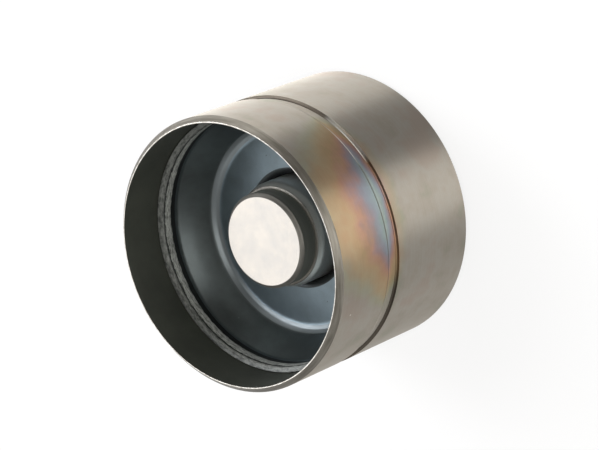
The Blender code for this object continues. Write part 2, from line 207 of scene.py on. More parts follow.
def on_circle(tree, angle, radius, height):
    """Point at an angle round the axis."""
    cosine = add(tree, "COSINE", (angle,))
    sine = add(tree, "SINE", (angle,))
    x = add(tree, "MULTIPLY", (radius, cosine))
    y = add(tree, "MULTIPLY", (radius, sine))
    return add(tree, JOIN, (x, y, height))


print("trees so far:", len(bpy.data.node_groups))

# %% [markdown]
# ## A lathe made of Geometry Nodes
#
# A turned piece follows one rule: a profile goes round the axis. A Screw modifier could do that too, but it
# can't let an edge wander in height on its way round, as a sheared edge does. The tree takes the profile as a
# row of points. It lays out a grid with one row of vertices for each profile point and one column for each
# step round the axis, and sets each vertex from its own profile point and angle. Merging by distance closes
# the seam and the poles on the axis.

# %% Lathe tree
def lathe_tree():
    tree, given = open_tree(
        "lathe", Profile="Geometry", Steps_round="Int", Weld="Float", Waviness="Float", Seed="Float",
        Steel="Material",
    )
    size = add(tree, "GeometryNodeAttributeDomainSize", {"Geometry": given["Profile"]}, "Point Count")
    columns = add(tree, "ADD", (given["Steps round"], 1.0))
    grid = add(tree, "GeometryNodeMeshGrid", {"Vertices X": size, "Vertices Y": columns})
    index = add(tree, "GeometryNodeInputIndex")
    row = add(tree, "DIVIDE", (index, columns))
    row = add(tree, "FLOOR", (row,))
    column = add(tree, "MODULO", (index, columns))
    read = {"Geometry": given["Profile"], "Index": row}
    where = add(tree, "GeometryNodeInputPosition")
    rough = add(tree, "GeometryNodeInputNamedAttribute", {"Name": "sheared"}, "Attribute", data_type="FLOAT")
    point, shear = [
        add(tree, "GeometryNodeSampleIndex", {**read, "Value": value}, "Value", data_type=kind, domain="POINT")
        for value, kind in ((where, "FLOAT_VECTOR"), (rough, "FLOAT"))
    ]
    turn = add(tree, "MULTIPLY", (column, math.tau))
    turn = add(tree, "DIVIDE", (turn, given["Steps round"]))
    radius, _, height = add(tree, SPLIT, (point,), None)
    # The noise that a sheared edge wanders with is read on a circle, so it meets itself.
    ring = on_circle(tree, turn, 1.0, given["Seed"])
    wander = add(tree, NOISE, {"Vector": ring, "Scale": 4.0, "Detail": 4.0, "Roughness": 0.6})
    centred = add(tree, "SUBTRACT", (wander, 0.5))
    reach = add(tree, "MULTIPLY", (given["Waviness"], shear))
    z = add(tree, "MULTIPLY_ADD", (centred, reach, height))
    spot = on_circle(tree, turn, radius, z)
    moved = add(tree, "GeometryNodeSetPosition", {"Geometry": grid, "Position": spot})
    welded = add(tree, "GeometryNodeMergeByDistance", {"Geometry": moved, "Distance": given["Weld"]})
    return close_tree(tree, welded, given["Steel"])


LATHE = lathe_tree()

# %% [markdown]
# ## Wound wire, also in Geometry Nodes
#
# A compression spring is a wire on a helix whose end turns lie closer together. A curve could be written
# point by point, but a tree keeps the numbers that a spring maker would ask for as its inputs. It lays a row
# of points on a line, winds them up by their number, and sweeps a circle along them.

# %% Spring tree
def spring_tree():
    tree, given = open_tree(
        "wound_wire", Coil_radius="Float", Height="Float", Turns="Float", End_turns="Float", End_pitch="Float",
        Wire="Float", Base="Float", Points_a_turn="Int", Wire_sides="Int", Steel="Material",
    )
    count = add(tree, "MULTIPLY_ADD", (given["Turns"], given["Points a turn"], 1.0))
    line = add(tree, "GeometryNodeMeshLine", {"Count": count})
    curve = add(tree, "GeometryNodeMeshToCurve", {"Mesh": line})
    index = add(tree, "GeometryNodeInputIndex")
    wound_up = add(tree, "DIVIDE", (index, given["Points a turn"]))
    # Turns so far that lie in a closed end, at the bottom and at the top.
    bottom = add(tree, "MINIMUM", (wound_up, given["End turns"]))
    top = add(tree, "SUBTRACT", (given["Turns"], given["End turns"]))
    top = add(tree, "SUBTRACT", (wound_up, top))
    top = add(tree, "MAXIMUM", (top, 0.0))
    closed = add(tree, "ADD", (bottom, top))
    opened = add(tree, "SUBTRACT", (wound_up, closed))
    # What the closed ends leave of the height is shared out over the open turns.
    ends = add(tree, "MULTIPLY", (given["End turns"], 2.0))
    taken = add(tree, "MULTIPLY", (ends, given["End pitch"]))
    rest = add(tree, "SUBTRACT", (given["Height"], taken))
    open_turns = add(tree, "SUBTRACT", (given["Turns"], ends))
    open_pitch = add(tree, "DIVIDE", (rest, open_turns))
    rise = add(tree, "MULTIPLY_ADD", (closed, given["End pitch"], given["Base"]))
    rise = add(tree, "MULTIPLY_ADD", (opened, open_pitch, rise))
    angle = add(tree, "MULTIPLY", (wound_up, math.tau))
    spot = on_circle(tree, angle, given["Coil radius"], rise)
    helix = add(tree, "GeometryNodeSetPosition", {"Geometry": curve, "Position": spot})
    radius = add(tree, "DIVIDE", (given["Wire"], 2.0))
    section = add(
        tree, "GeometryNodeCurvePrimitiveCircle", {"Resolution": given["Wire sides"], "Radius": radius}
    )
    wire = add(tree, "GeometryNodeCurveToMesh", {"Curve": helix, "Profile Curve": section, "Fill Caps": True})
    return close_tree(tree, wire, given["Steel"])


WOUND = spring_tree()

# %% [markdown]
# ## Running a tree
#
# A modifier's inputs are stored under the identifiers of its sockets. They are set before the object is
# looked at for the first time. The finished shape could stay a live modifier, but then it would be worked
# out again in each pose, so it is copied into a plain mesh and the modifier goes.

# %% From tree to plain mesh
WELD, SEED = 0.002, 3.7  # millimetres, and where the noise of a sheared edge is read


def settle(piece):
    """Replace an object's mesh and modifiers by the plain mesh that they give."""
    graph = bpy.context.evaluated_depsgraph_get()
    solid = bpy.data.meshes.new_from_object(piece.evaluated_get(graph), depsgraph=graph)
    piece.modifiers.clear()
    solid.name = piece.name
    piece.data = solid


def run_tree(name, tree, mesh, values):
    """Object whose mesh is what the tree makes of the given mesh."""
    piece = new_object(name, mesh)
    modifier = piece.modifiers.new("shape", "NODES")
    modifier.node_group = tree
    for item in tree.interface.items_tree:
        if item.in_out == "INPUT" and item.name in values:
            modifier[item.identifier] = values[item.name]
    settle(piece)
    return piece


def turned(name, profile, steel, steps=256, closed=False, torn=(0.0, 0.0, 0.0), waviness=0.0):
    """Turn a profile of (radius, height) points in millimetres about the axis.

    Torn is a (lowest, highest, widest) range, and the points inside it wander in height by the waviness.
    """
    points = list(profile) + ([profile[0]] if closed else [])
    mesh = bpy.data.meshes.new(name + "_profile")
    edges = [(i, i + 1) for i in range(len(points) - 1)]
    mesh.from_pydata([(r * MM, 0.0, z * MM) for r, z in points], edges, [])
    marks = mesh.attributes.new("sheared", "FLOAT", "POINT")
    lowest, highest, widest = torn
    for mark, (r, z) in zip(marks.data, points):
        mark.value = float(lowest <= z <= highest and r < widest)
    piece = run_tree(name, LATHE, mesh, {
        "Steps round": steps, "Weld": WELD * MM, "Waviness": waviness * MM, "Seed": SEED, "Steel": steel,
    })
    # The direction of the profile decides whether the grid comes out inside out.
    bm = bmesh.new()
    bm.from_mesh(piece.data)
    bmesh.ops.recalc_face_normals(bm, faces=bm.faces)
    bm.to_mesh(piece.data)
    bm.free()
    return piece


print("the lathe takes:", [item.name for item in LATHE.interface.items_tree if item.in_out == "INPUT"])

# %% [markdown]
# ## Profiles from corners
#
# Every corner of a turned part is broken a little, by a stone, a brush or the wear of use, and that thin
# round edge is what catches the light. A Bevel modifier gives all edges one width. Here each profile is a
# list of corners instead, and each corner names the radius of its own edge.

# %% Rounded corners and bent sheet
def rounded(corners, step=14.0):
    """Points of a profile from its (radius, height, edge radius) corners. Step is in degrees."""
    points = []
    for i, (r, z, size) in enumerate(corners):
        if i in (0, len(corners) - 1) or size <= 0.0:
            points.append((r, z))
            continue
        here = Vector((r, z))
        back = Vector(corners[i - 1][:2]) - here
        ahead = Vector(corners[i + 1][:2]) - here
        half = back.angle(ahead) / 2
        # No arc takes up more than half of the straight beside it.
        reach = min(size / math.tan(half), 0.49 * back.length, 0.49 * ahead.length)
        size = reach * math.tan(half)
        start = here + back.normalized() * reach
        centre = here + (back.normalized() + ahead.normalized()).normalized() * (size / math.sin(half))
        spoke = start - centre
        turn = math.pi - 2 * half
        side = -1.0 if back.x * ahead.y - back.y * ahead.x > 0 else 1.0
        count = max(2, math.ceil(math.degrees(turn) / step))
        for k in range(count + 1):
            angle = side * turn * k / count
            points.append((
                centre.x + spoke.x * math.cos(angle) - spoke.y * math.sin(angle),
                centre.y + spoke.x * math.sin(angle) + spoke.y * math.cos(angle),
            ))
    return points


def sheet_profile(middle, thickness):
    """Left and right face of a sheet whose middle runs along these points."""
    left, right = [], []
    for i, (r, z) in enumerate(middle):
        before, after = middle[max(i - 1, 0)], middle[min(i + 1, len(middle) - 1)]
        along = Vector((after[0] - before[0], after[1] - before[1])).normalized()
        left.append((r - along.y * thickness / 2, z + along.x * thickness / 2))
        right.append((r + along.y * thickness / 2, z - along.x * thickness / 2))
    return left, right


print("points of a broken edge:", len(rounded([(0, 0, 0), (1, 0, 0.1), (1, 1, 0)])) - 2)

# %% [markdown]
# ## What the steels share
#
# Every steel starts as an empty tree and ends in a Principled shader that gets a colour, a roughness and a
# relief. Fine lines from a wheel or a tool spread light further across them than along them. Modelled lines
# would take millions of faces, so the anisotropic setting stands for them: it draws each highlight out, and
# the tangent tells it that the lines run round the axis.

# %% Shared parts of the steels
NOISE_RANGE = (0.3, 0.7)  # nearly all noise lies in it


def new_material(name):
    """Material with an empty tree, and that tree."""
    material = bpy.data.materials.new(name)
    material.use_nodes = True
    material.node_tree.nodes.clear()
    return material, material.node_tree


def close_steel(tree, colour, rough, relief, strength, depth, metal=1.0, stretch=0.0):
    """Last nodes of a steel. Relief is depth millimetres deep, and stretch draws the highlights out."""
    bump = add(tree, "ShaderNodeBump", {"Height": relief, "Strength": strength, "Distance": depth * MM})
    surface = {"Base Color": colour, "Metallic": metal, "Roughness": rough, "Normal": bump}
    if stretch:
        tangent = add(tree, "ShaderNodeTangent", direction_type="RADIAL", axis="Z")
        surface.update({"Tangent": tangent, "Anisotropic": stretch, "Anisotropic Rotation": 0.25})
    shader = add(tree, "ShaderNodeBsdfPrincipled", surface)
    add(tree, "ShaderNodeOutputMaterial", {"Surface": shader})


def stretched_noise(tree, place, scale, detail, roughness=0.6):
    """Noise with its own scale along x, y and z."""
    mapped = add(tree, "ShaderNodeMapping", {"Vector": place, "Scale": scale})
    return add(tree, NOISE, {"Vector": mapped, "Scale": 1.0, "Detail": detail, "Roughness": roughness})


print("materials before the first steel:", len(bpy.data.materials))

# %% [markdown]
# ## Temper colours
#
# The outside of the bucket is case-hardened steel. Near the oil groove it once got hot in one spot. Its oxide
# film grew in rings, and a film of growing thickness shows straw, brown, purple and blue, in that order. A
# painted picture could hold the rings, but it would have to be wrapped round the skirt and would blur close
# up. So a colour ramp is read by the distance from the hot spot, which grows steeply round the skirt and
# towards the crown, and slowly towards the rim. Noise bends the rings and breaks them into patches.

# %% Temper colours by distance
HOT_ANGLE, HOT_HEIGHT = -0.03, 16.2  # radians from the side that faces the camera, and millimetres
THIN_FILM = "#9E9990"
FILM = [
    (0.0, "#909A95"), (0.08, "#8B9797"), (0.14, "#889198"), (0.19, "#8A8A92"), (0.26, "#9B8584"),
    (0.33, "#AC8B78"), (0.43, "#AD9577"), (0.58, "#A8997E"), (0.74, "#9C9A89"), (0.9, "#9D988F"),
    (1.0, THIN_FILM),
]


def temper_film(tree, place, angle, level):
    """Colour of the oxide film at an angle and a height of the skirt."""
    cloud = add(tree, NOISE, {"Vector": place, "Scale": 300.0, "Detail": 3.0, "Roughness": 0.55})
    cloud = add(tree, "SUBTRACT", (cloud, 0.5))
    above = add(tree, "SUBTRACT", (level, HOT_HEIGHT * MM))
    above = add(tree, "MULTIPLY_ADD", (cloud, 1.6 * MM, above))
    below = add(tree, "MULTIPLY", (above, -1.0))
    beside = add(tree, "SUBTRACT", (angle, HOT_ANGLE))
    beside = add(tree, "ABSOLUTE", (beside,))
    away = 0.0
    # How far the colours run beside, above and below the spot, and by what power.
    for way, reach, power in ((beside, 12.5 / BODY_R, 2.4), (above, 10.0 * MM, 0.8), (below, 3.2 * MM, 1.5)):
        way = add(tree, "MAXIMUM", (way, 0.0))
        way = add(tree, "DIVIDE", (way, reach))
        way = add(tree, "POWER", (way, power))
        away = add(tree, "ADD", (away, way))
    patches = add(tree, NOISE, {"Vector": place, "Scale": 360.0, "Detail": 2.5, "Roughness": 0.5})
    patches = add(tree, "SUBTRACT", (patches, 0.5))
    away = add(tree, "MULTIPLY_ADD", (patches, 0.42, away))
    away = add(tree, "DIVIDE", (away, 1.6))
    film = add(tree, RAMP, (away,), stops=FILM)
    # Past the groove the film is thin and shows only faintly.
    faint = add(tree, RANGE, (level, 14.1 * MM, 14.4 * MM, 0.4, 1.0))
    return add(tree, MIX, {0: faint, 6: linear(THIN_FILM), 7: film}, **BLEND)


print("film:", len(FILM), "colours")

# %% [markdown]
# Old oil leaves wide, faint marks on the skirt, a little greener or redder than the steel. Along the groove a
# dark line is painted shade, left out near the heat, and just above the heat the groove is painted light, a
# painted highlight. Pits of up to a third of a millimetre lie here and there, dark with dirt or rubbed bright.
# They are the middles of Voronoi cells, which cost less than modelled dents. The cells' random colours say
# which have a pit, and what fills it.

# %% Old oil and pits
# Painted shade and a painted highlight for the groove: a dark line that turns light just above the heat, by
# angle.
GROOVE_SHADE_AND_HIGHLIGHT = [(0.0, "#2E2B27"), (0.02, "#F4F2EA"), (0.165, "#F4F2EA"), (0.23, "#2E2B27")]  # by angle, in half turns
SHADE_LINE_ENDS, SHADE_LINE_STARTS = (-0.72, -0.55), (0.24, 0.34)  # radians, at the two sides of the heat
PIT_CELLS, PIT_REACH = 330.0, 0.055  # cells to a metre, and how much of a cell a pit reaches


def oiled_with_painted_groove_light(tree, colour, place, angle, stain, groove_shade_line):
    """Colour under old oil, with the groove's painted line. Stain is the ramp of the oil's marks,
    groove_shade_line the strength of the painted shade and highlight.
    """
    marks = add(tree, NOISE, {"Vector": place, "Scale": 160.0, "Detail": 4.0, "Roughness": 0.6})
    marks = add(tree, RAMP, (marks,), stops=stain)
    colour = add(tree, MIX, {0: 1.0, 6: colour, 7: marks}, **TINT)
    half_turns = add(tree, "DIVIDE", (angle, math.pi))
    # The painted line: painted shade along the groove, a painted highlight just above the heat, nothing at the
    # heat itself.
    line = add(tree, RAMP, (half_turns,), stops=GROOVE_SHADE_AND_HIGHLIGHT)
    share = add(tree, RANGE, (angle, *SHADE_LINE_STARTS, 0.0, groove_shade_line))
    share = add(tree, RANGE, (angle, *SHADE_LINE_ENDS, groove_shade_line, share))
    return add(tree, MIX, {0: share, 6: colour, 7: line}, **BLEND)


def pitted(tree, colour, place):
    """Colour with pits in it, and a value that is 1 in each pit."""
    cells = add(tree, "ShaderNodeTexVoronoi", {"Vector": place, "Scale": PIT_CELLS}, None)
    chance, kind, _ = add(tree, SPLIT, (cells["Color"],), None)
    near = add(tree, "LESS_THAN", (cells["Distance"], PIT_REACH))
    chosen = add(tree, "GREATER_THAN", (chance, 0.84))
    pit = add(tree, "MULTIPLY", (near, chosen))
    share = add(tree, "MULTIPLY", (pit, 0.6))
    filled = add(tree, RAMP, (kind,), stops=[(0.0, "#5A544C"), (0.45, "#E4DFD6")], ease="CONSTANT")
    return add(tree, MIX, {0: share, 6: colour, 7: filled}, **BLEND), pit


print("pits: up to %.2f mm across" % (2 * PIT_REACH / PIT_CELLS / MM))

# %% [markdown]
# The skirt is ground between wheels to a running fit. Grinding leaves lines round the axis, finer than the
# eye sees one by one, so they show as highlights drawn out along the axis. Noise squeezed along the axis
# gives them. They are 0.15 mm apart here, coarser than real ones, to show at all. The groove was heated with
# the skirt, so one function makes both steels.

# %% Ground skirt and turned groove
def tempered(name, stain, rough, stretch, groove_shade_line=0.0):
    """Hardened steel with temper colours, between two roughnesses, and a painted line of shade and highlight in
    a groove.
    """
    material, tree = new_material(name)
    place = add(tree, "ShaderNodeTexCoord", out="Object")
    x, y, level = add(tree, SPLIT, (place,), None)
    front = add(tree, "MULTIPLY", (y, -1.0))
    angle = add(tree, "ARCTAN2", (x, front))
    colour = temper_film(tree, place, angle, level)
    colour = oiled_with_painted_groove_light(tree, colour, place, angle, stain, groove_shade_line)
    colour, pit = pitted(tree, colour, place)
    lines = stretched_noise(tree, place, (60.0, 60.0, 6600.0), 2.0, 0.5)
    shine = add(tree, RAMP, (lines,), stops=[(0.32, "#F7F6F4"), (0.62, "#FFFFFF")])
    colour = add(tree, MIX, {0: 1.0, 6: colour, 7: shine}, **TINT)
    dull = add(tree, RANGE, (lines, *NOISE_RANGE, *rough))
    hollow = add(tree, "MULTIPLY", (pit, 1.5))
    relief = add(tree, "SUBTRACT", (lines, hollow))
    close_steel(tree, colour, dull, relief, 0.25, 0.004, stretch=stretch)
    return material


GROUND = tempered(
    "case_hardened_steel_ground_and_tempered",
    [(0.34, "#EDF0EA"), (0.43, "#FAF7F5"), (0.52, "#FFFFFF"), (0.64, "#FCF4F2")], (0.46, 0.52), 1.0,
)
# The groove is turned, not ground: its highlights hardly drawn out. It is painted darker, as painted shade, and
# carries the painted line of shade and highlight.
SHADED_GROOVE = tempered(
    "case_hardened_steel_turned_groove_painted_shade", [(0.34, "#AAA198"), (0.6, "#C2B9AF")], (0.27, 0.34), 0.3, 0.72
)
print(GROUND.name, len(GROUND.node_tree.nodes), "nodes")

# %% [markdown]
# ## The other steels
#
# The rest share one recipe: a base colour that a slow cloud makes lighter and darker, lines or grain from
# the tool that made the surface, and in some a few flecks of dirt or bare metal. A single colour would look
# like plastic. An oxide or phosphate coat is not a bare metal: part of the light comes back from it in all
# directions, so its metallic value is below one.

# %% One recipe for plain steels
def plain_steel(
    name, light, dark, rough, cloud, grain, depth, metal=1.0, lines=(1, 1, 1), fleck=None, spread=0.8
):
    """Steel between two hex colours. Cloud, grain, depth and spread are sizes in millimetres."""
    material, tree = new_material(name)
    place = add(tree, "ShaderNodeTexCoord", out="Object")
    drift = stretched_noise(tree, place, [s / (cloud * MM) for s in lines], 5.0)
    colour = add(tree, RAMP, (drift,), stops=[(0.33, dark), (0.67, light)])
    fine = stretched_noise(tree, place, [s / (grain * MM) for s in lines], 3.0)
    if fleck:
        cells = add(tree, "ShaderNodeTexVoronoi", {"Vector": place, "Scale": 1 / (spread * MM)}, None)
        chance = add(tree, SPLIT, (cells["Color"],))
        reach = add(tree, RANGE, (chance, 0.75, 1.0, 0.0, 0.11))
        near = add(tree, "SUBTRACT", (reach, cells["Distance"]))
        near = add(tree, "MULTIPLY", (near, 22.0), use_clamp=True)
        colour = add(tree, MIX, {0: near, 6: colour, 7: linear(fleck)}, **BLEND)
    dull = add(tree, RANGE, (fine, *NOISE_RANGE, rough - 0.05, rough + 0.05))
    close_steel(tree, colour, dull, fine, 0.5, depth, metal)
    return material


ROUND = (0.06, 0.06, 1.0)  # lines that run round the axis
# Turned edge: lines of the tool, a little brown oxide between them.
EDGE = plain_steel("case_hardened_steel_turned_edge", "#79756D", "#56524B", 0.45, 0.35, 0.10, 0.006, lines=ROUND)
# The narrow ring on top of the rim is rubbed bright where the tappet is set down.
RUBBED = plain_steel("case_hardened_steel_rubbed_bright", "#EFECE6", "#B5AFA6", 0.26, 0.7, 0.08, 0.003)
# Cold-formed and hardened, never ground inside: a thin, dull, olive-black oxide, here and there worn through.
BORE = plain_steel(
    "case_hardened_steel_black_oxide", "#34362F", "#2A2C26", 0.50, 5.0, 0.10, 0.004, 0.25,
    fleck="#8C8B82", spread=1.6,
)
print("materials so far:", len(bpy.data.materials))

# %% [markdown]
# The insert is pressed sheet with a thin manganese phosphate coat. One steel for all of it would do, but the
# press flattened the coat thinner on the flat, and the bend and the hole are painted lighter and darker, as a
# painted highlight and painted shade. The cup is bearing steel, and what differs there is the last tool, from a
# lathe to a lapping plate.

# %% Steels of the insert and the cup
# Grey with a breath of green and blue, and a few points rubbed bare.
INSERT = plain_steel(
    "pressed_sheet_steel_phosphated", "#697071", "#5E6464", 0.32, 4.0, 0.08, 0.002, 0.9,
    fleck="#BCC0BE", spread=1.1,
)
# The flat was pressed between two hard faces, which leaves the coat thinner and bluer there.
FLAT = plain_steel(
    "pressed_sheet_steel_flattened", "#7C8A91", "#717D83", 0.32, 2.5, 0.08, 0.002, 0.8,
    fleck="#4A5052", spread=1.1,
)
# Along the lower bend the coat is painted lighter, a painted highlight, and left rougher.
BENT_HIGHLIGHT = plain_steel("pressed_sheet_steel_bent_painted_highlight", "#7B8284", "#6F7678", 0.34, 0.8, 0.08, 0.003, 0.5, ROUND)
# Round the hole the sheet is drawn over an edge, and it is painted near black there: painted shade going down
# into the hole.
DRAWN_EDGE_SHADE = plain_steel("pressed_sheet_steel_drawn_edge_painted_shade", "#3E4243", "#303434", 0.42, 0.5, 0.08, 0.003, 0.6, ROUND)
# Hardened, brushed, oiled dark.
CUP = plain_steel("bearing_steel_hardened_dark", "#CFCDC7", "#BAB8B2", 0.38, 3.0, 0.07, 0.003, 0.9, ROUND)
# The neck is turned and left alone, so it keeps a thicker, matte oxide.
NECK = plain_steel("bearing_steel_turned_matte", "#8D8C82", "#7C7B73", 0.52, 1.5, 0.07, 0.004, 0.75, ROUND)
# The edge round the pad is broken with a stone, in short, uneven strokes.
STONED = plain_steel("bearing_steel_stoned_edge", "#95928B", "#706D67", 0.55, 0.3, 0.05, 0.006, 0.9, ROUND)
# The pad is lapped flat: almost a mirror, with a warm, faint cloud.
PAD = plain_steel("bearing_steel_lapped", "#D7D1C9", "#CCC8C3", 0.26, 2.2, 0.06, 0.001)
print("materials so far:", len(bpy.data.materials))

# %% [markdown]
# The inner pieces are wet with oil in use and never rust, so all are bare metal. They differ in how they were
# made: ground, drawn from strip, polished in a drum, or pulled through a die as wire. One grey for all would
# do in the closed tappet, but not when it is opened.

# %% Steels of the inner pieces
PLUNGER = plain_steel("bearing_steel_ground_plunger", "#AFADA8", "#A09E98", 0.22, 3.0, 0.05, 0.001, lines=ROUND)
STRIP = plain_steel("deep_drawn_strip_steel", "#A8A49C", "#8F8B84", 0.34, 1.5, 0.06, 0.002)
BALL = plain_steel("chrome_steel_ball_polished", "#CBCAC7", "#C2C1BD", 0.10, 1.0, 0.05, 0.0)
WIRE = plain_steel("spring_steel_drawn_wire", "#8E8C88", "#7A7874", 0.28, 1.5, 0.05, 0.001)
RING = plain_steel("spring_steel_ring_wire", "#918D86", "#7C7871", 0.30, 1.5, 0.05, 0.001)
print("materials so far:", len(bpy.data.materials))

# %% [markdown]
# ## Cam face
#
# The cam face was ground as it turned, so its lines are rings. In use the tappet turns under the cam, which
# rubs a wide ring brighter and leaves the middle and the edge duller. A Wave texture could draw rings, but
# too evenly. Noise read on the radius alone gives uneven ones, 0.2 mm apart, coarser than real ones.

# %% Cam face
FACE, tree = new_material("case_hardened_steel_cam_face")
place = add(tree, "ShaderNodeTexCoord", out="Object")
flat = add(tree, "ShaderNodeMapping", {"Vector": place, "Scale": (1.0, 1.0, 0.0)})
radius = add(tree, "ShaderNodeVectorMath", (flat,), "Value", operation="LENGTH")
rings = add(tree, NOISE, {"W": radius, "Scale": 5000.0, "Detail": 2.0}, noise_dimensions="1D")
worn = add(tree, NOISE, {"Vector": place, "Scale": 160.0, "Detail": 4.0, "Roughness": 0.6})
worn = add(tree, "MULTIPLY_ADD", (worn, 3.0 * MM, radius))
share = add(tree, RANGE, (worn, 0.0, 19.0 * MM))
colour = add(tree, RAMP, (share,), stops=[
    (0.0, "#A09A90"), (0.18, "#A8A39A"), (0.30, "#C4C0B9"),
    (0.62, "#CBC8C2"), (0.78, "#A9A49B"), (1.0, "#8D877D"),
])
lines = add(tree, RAMP, (rings,), stops=[(0.35, "#E4E2DF"), (0.65, "#FFFFFF")])
colour = add(tree, MIX, {0: 1.0, 6: colour, 7: lines}, **TINT)
dull = add(tree, RANGE, (rings, *NOISE_RANGE, 0.24, 0.34))
close_steel(tree, colour, dull, rings, 0.4, 0.003, stretch=0.8)
print(FACE.name, len(tree.nodes), "nodes")

# %% [markdown]
# ## Sheared edge
#
# The press tool sheared the edge of the insert. A sheared edge has a smooth part, where the punch went in,
# and a torn part, where the sheet broke. They lie as two light bands with a dark line between them, and the
# torn band ends in a ragged line. Below it the flange's inside wall is painted near black, a painted shadow.
# Borders between faces would be too straight for that, so the bands are set by height in one material, and
# noise that is long round the axis makes their borders ragged.

# %% Sheared edge of the insert
SHEARED_EDGE_AND_SHADOW, tree = new_material("pressed_sheet_steel_sheared_edge_and_painted_shadow")
place = add(tree, "ShaderNodeTexCoord", out="Object")
ragged = stretched_noise(tree, place, (1300.0, 1300.0, 4000.0), 4.0, 0.7)
height = add(tree, SPLIT, (place,), 2)
height = add(tree, "MULTIPLY_ADD", (ragged, 0.7 * MM, height))
share = add(tree, RANGE, (height, 18.0 * MM, 20.4 * MM))
# The lowest stop paints the flange's inside wall near black below the torn band: a painted shadow.
bands_and_shadow = add(tree, RAMP, (share,), stops=[
    (0.10, "#161918"), (0.15, "#B4B6B0"), (0.55, "#BBBDB6"), (0.59, "#2A2D2B"), (0.64, "#262927"),
    (0.70, "#6A6C67"), (1.0, "#585A56"),
])
# Streaks of the tearing run round the edge.
streaks = stretched_noise(tree, place, (1400.0, 1400.0, 6500.0), 3.0, 0.7)
streaks = add(tree, RAMP, (streaks,), stops=[(0.36, "#848484"), (0.62, "#FFFFFF")])
colour = add(tree, MIX, {0: 1.0, 6: bands_and_shadow, 7: streaks}, **TINT)
close_steel(tree, colour, 0.45, ragged, 0.8, 0.05, 0.35)
print(SHEARED_EDGE_AND_SHADOW.name, len(tree.nodes), "nodes")

# %% [markdown]
# ## The bucket
#
# Skirt and crown are one piece. Outside runs the oil groove: its edge towards the rim eases down gently, its
# edge towards the crown is a steep little wall with a round foot. The rim ends in a narrow flat face and an
# outside chamfer. Inside, a cone carries the insert. A Boolean could cut the groove, but in the profile it
# stays exact.

# %% Bucket profile
RIM_FLAT, RIM_CHAMFER, FOOT_CHAMFER = 0.13, 0.73, 0.4
SEAT_LOW, SEAT_HIGH = 15.723, 16.695  # of the cone that carries the insert
GROOVE_LEDGE, GROOVE_EASE, GROOVE_STEPS = 0.06, 1.3, 12
groove_side = []
for step in range(GROOVE_STEPS + 1):
    share = step / GROOVE_STEPS
    depth = GROOVE_DEPTH * math.sin(share * math.pi / 2)
    groove_side.append((BODY_R - depth, GROOVE_TOP - GROOVE_LEDGE - GROOVE_EASE * share, 0.0))
shell_corners = [
    (0.0, CROWN_INSIDE, 0), (CHAMBER_R, CROWN_INSIDE, 1.0), (CHAMBER_R, SEAT_LOW, 0.05),
    (MOUTH_R, SEAT_HIGH, 0.1), (MOUTH_R, BODY_TOP, 0.03), (MOUTH_R + RIM_FLAT, BODY_TOP, 0.03),
    (BODY_R, BODY_TOP - RIM_CHAMFER, 0.06), (BODY_R, GROOVE_TOP, 0.05), *groove_side,
    (BODY_R - GROOVE_DEPTH, GROOVE_FOOT + 0.08, 0.28), (BODY_R, GROOVE_FOOT, 0.05),
    (BODY_R, FOOT_CHAMFER, 0.08), (BODY_R - FOOT_CHAMFER, 0.0, 0.08), (0.0, 0.0, 0),
]
shell = turned("bucket", rounded(shell_corners), GROUND)
print("bucket, turned:", len(shell.data.polygons), "faces")

# %% [markdown]
# The feed hole lets oil from the groove into the tappet. Under the plunger, a shallow channel in the crown
# lets it through to the other side. Neither goes round the axis, so the profile can't hold them. Both are cut
# with a Boolean, as a drill and a cutter would.

# %% Feed hole and channel
HOLE_R, HOLE_HEIGHT = 0.6, GROOVE_FOOT + 0.73
CHANNEL_R, CHANNEL_DEPTH, CHANNEL_END = 2.0, 0.6, 6.05


def cut_away(piece, name, build):
    """Take the shape that build puts into a bmesh out of the piece."""
    bm = bmesh.new()
    build(bm)
    bmesh.ops.recalc_face_normals(bm, faces=bm.faces)
    mesh = bpy.data.meshes.new(name)
    bm.to_mesh(mesh)
    bm.free()
    tool = new_object(name, mesh)
    difference = piece.modifiers.new(name, "BOOLEAN")
    difference.operation = "DIFFERENCE"
    difference.solver = "EXACT"
    difference.object = tool
    settle(piece)
    bpy.data.objects.remove(tool)


def feed_drill(bm):
    """Drill along Y, 4 mm long, through the skirt."""
    through = Matrix.Translation((0.0, 17.0 * MM, HOLE_HEIGHT * MM)) @ Matrix.Rotation(-math.pi / 2, 4, "X")
    bmesh.ops.create_cone(
        bm, cap_ends=True, segments=48, radius1=HOLE_R * MM, radius2=HOLE_R * MM, depth=4 * MM, matrix=through
    )


def crown_channel(bm):
    """Straight channel with round ends, open at the top."""
    outline = []
    for centre, start in ((CHANNEL_END, -90), (-CHANNEL_END, 90)):
        for k in range(17):
            angle = math.radians(start + 180 * k / 16)
            x, y = centre + CHANNEL_R * math.cos(angle), CHANNEL_R * math.sin(angle)
            outline.append(bm.verts.new((x * MM, y * MM, (CROWN_INSIDE - CHANNEL_DEPTH) * MM)))
    floor = bm.faces.new(outline)
    raised = bmesh.ops.extrude_face_region(bm, geom=[floor])
    tops = [v for v in raised["geom"] if isinstance(v, bmesh.types.BMVert)]
    bmesh.ops.translate(bm, verts=tops, vec=(0.0, 0.0, 2 * CHANNEL_DEPTH * MM))


cut_away(shell, "feed_drill", feed_drill)
cut_away(shell, "crown_channel", crown_channel)
print("bucket, cut:", len(shell.data.polygons), "faces")

# %% [markdown]
# One piece of steel, several finishes: each face takes the finish of the tool that reached it last. Faces
# could be picked by hand, but a new step count would undo that. So a rule looks at where a face lies and
# which way it points.

